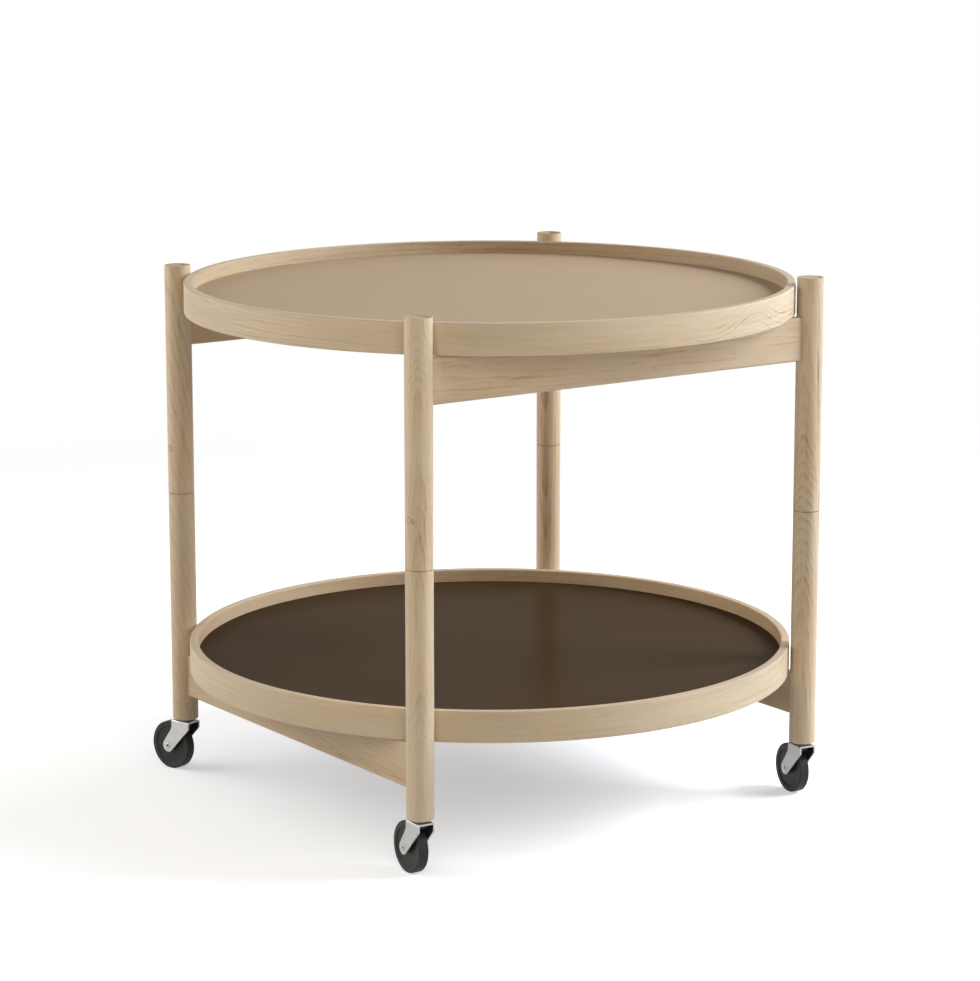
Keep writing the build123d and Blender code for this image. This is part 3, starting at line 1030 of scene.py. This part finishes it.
# %% Wheels and rivets
for place in PLACES:
    lie = caster_place(place) @ Matrix.Translation((-TRAIL, 0, AXLE_HEIGHT)) @ ON_AXLE
    hub = spin("caster_hub_moulded_" + place, across_axle(HUB_SIDE), 128, closed=True)
    fit(soften(move(hub, lie)), "wheel_" + place, "caster_wheel_hub_" + place, hub_plastic)
    tyre = spin("caster_tread_" + place, across_axle(TYRE_SIDE), 192, closed=True)
    fit(soften(move(tyre, lie)), "wheel_" + place, "caster_tyre_" + place, tread_plastic)
    ends = list(reversed(RIVET_SIDE)) + [(radius, -out) for radius, out in RIVET_SIDE]
    rivet = spin("caster_rivet_" + place, ends, 48)
    # The faces in the rivet's eye get the black finish: painted shade in the recess.
    shaded_eye = [face.index for face in rivet.data.polygons if face.center.xy.length < RIVET_EYE]
    fit(soften(move(rivet, lie)), "swivel_" + place, "caster_axle_rivet_" + place, zinc_pin)
    paint(rivet, shaded_eye, painted_shade_black)
print("wheels:", len(PLACES))

# %% [markdown]
# ## Floor
# The photograph has a white floor with only a soft shadow on it. The floor takes the light and the
# shadow as any matt floor does. For what the camera sees, and for what shiny parts reflect, it is
# lifted to white, so that the lamps can stay at a level that is right for the wood. Well away from
# the trolley it turns to plain white, as a paper sweep does.

# %% Floor
def seen_or_reflected(finish):
    """1 for rays from the camera, from a shiny surface or through glass, and 0 for the rest."""
    path = finish.node("LightPath")
    seen = finish.math("MAXIMUM", path.out("Is Camera Ray"), path.out("Is Glossy Ray"))
    return finish.math("MAXIMUM", seen, path.out("Is Transmission Ray"))


FLOOR_HALF = 60
FLOOR_GREY = 0.80
FLOOR_SHARE = (0.885, 0.900, 0.925)
FLOOR_LIFT = 0.47
SWEEP = (0.8, 2.2)


def white_floor():
    """White paper that takes a shadow near the trolley and is plain white far off."""
    material, ground = new_finish("white_floor")
    plain = ground.node("BsdfDiffuse", None, {"Color": (FLOOR_GREY,) * 3 + (1,)})
    shaded = ground.node("BsdfDiffuse", None, {"Color": (*FLOOR_SHARE, 1)})
    lift = ground.node("Emission", None, {"Strength": FLOOR_LIFT})
    lifted = ground.node("AddShader", None, {0: shaded, 1: lift})
    point = ground.node("TexCoord", output="Object")
    reach = ground.node("VectorMath", {"operation": "LENGTH"}, {0: point}, output="Value")
    sweep = ground.node("Emission", None, {"Strength": 1.0})
    near_or_far = ground.node("MixShader", None, {0: ground.step(reach, *SWEEP), 1: lifted, 2: sweep})
    shown = ground.node("MixShader", None, {0: seen_or_reflected(ground), 1: plain, 2: near_or_far})
    ground.node("OutputMaterial", None, {"Surface": shown})
    return material


bm = bmesh.new()
bmesh.ops.create_grid(bm, x_segments=1, y_segments=1, size=FLOOR_HALF)
floor = link("floor", bm)
floor.data.materials.append(white_floor())
floor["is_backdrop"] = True

# %% [markdown]
# ## Light
# The light is a soft studio. A large lamp to the right, above the trays, draws the bright right edge
# on every leg and leaves the left-hand legs in the trays' shade, and a weaker one behind it rounds
# the edge off. Two weaker ones to the left, low and high, and a faint one beside the camera fill
# in. Directions are given round the trolley from the camera's side.

# %% Lamps and sky
VIEW_TURN = math.radians(-35.031)
LIT_PLACE = Vector((0, 0, 0.3))


def lamp(name, azimuth, elevation, distance, size, watts, colour):
    """A square soft lamp, aimed at the trolley. Azimuth 0 is beside the camera and 90 to its right."""
    turn = VIEW_TURN + math.radians(azimuth)
    lift = math.radians(elevation)
    away = Vector((math.sin(turn) * math.cos(lift), -math.cos(turn) * math.cos(lift), math.sin(lift)))
    data = bpy.data.lights.new(name, "AREA")
    data.shape = "SQUARE"
    data.size = size
    data.energy = watts
    data.color = colour
    obj = bpy.data.objects.new(name, data)
    obj.location = LIT_PLACE + away * distance
    obj.rotation_euler = away.to_track_quat("Z", "Y").to_euler()
    obj.visible_camera = False
    bpy.context.scene.collection.objects.link(obj)


# Each lamp: azimuth and elevation in degrees, distance and size in metres, watts, and colour.
LAMPS = {
    "right_lamp": (92, 25, 2.4, 1.2, 65, (0.94, 1.00, 1.09)),
    "right_rear_lamp": (135, 25, 2.4, 1.2, 20, (1.04, 1.00, 0.96)),
    "left_low_lamp": (-92, 10, 2.4, 2.0, 34, (1.02, 1.00, 0.97)),
    "left_high_lamp": (-100, 38, 2.4, 2.0, 12, (1.00, 1.00, 1.00)),
    "front_lamp": (0, 22, 1.5, 0.9, 5.8, (1.10, 1.00, 0.84)),
}
for name, settings in LAMPS.items():
    lamp(name, *settings)

SKY = 0.04
world = bpy.data.worlds.new("studio")
world.use_nodes = True
bpy.context.scene.world = world
sky = Finish(world.node_tree)
even = sky.node("Background", None, {"Color": (1, 1, 1, 1), "Strength": SKY})
white = sky.node("Background", None, {"Color": (1, 1, 1, 1), "Strength": 1.0})
both = sky.node("MixShader", None, {0: seen_or_reflected(sky), 1: even, 2: white})
sky.node("OutputWorld", None, {"Surface": both})
print("lamps:", len(LAMPS))

# %% [markdown]
# ## Camera
# The camera stands about 3.4 m away at chest height, to the front and left, with a long lens. Its
# place was fitted to the photograph, from the legs' edges and the outlines of both trays.

# %% Camera
PHOTO = (980, 981)
FOCAL_PIXELS = 3343.5
SENSOR = 36.0
CAMERA_PLACE = (-1.8733, -2.6727, 0.9597)
CAMERA_TILT = math.radians(90 - 11.399)
camera_data = bpy.data.cameras.new("camera")
camera_data.sensor_fit = "HORIZONTAL"
camera_data.sensor_width = SENSOR
camera_data.lens = SENSOR * FOCAL_PIXELS / PHOTO[0]
camera_data.clip_start = 0.1
camera_data.clip_end = 200
camera = bpy.data.objects.new("camera", camera_data)
camera.location = CAMERA_PLACE
camera.rotation_euler = (CAMERA_TILT, 0, VIEW_TURN)
bpy.context.scene.collection.objects.link(camera)
bpy.context.scene.camera = camera
bpy.context.scene.view_settings.view_transform = "Standard"
print("lens:", round(camera_data.lens, 1), "mm")

# %% [markdown]
# ## The size
# The box round everything that renders, the floor aside, is printed. The dressed model has
# to stay inside the CAD model's box.

# %% Sizes, and the end
low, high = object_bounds()
print("visual box:", [round(v, 4) for v in low], [round(v, 4) for v in high])
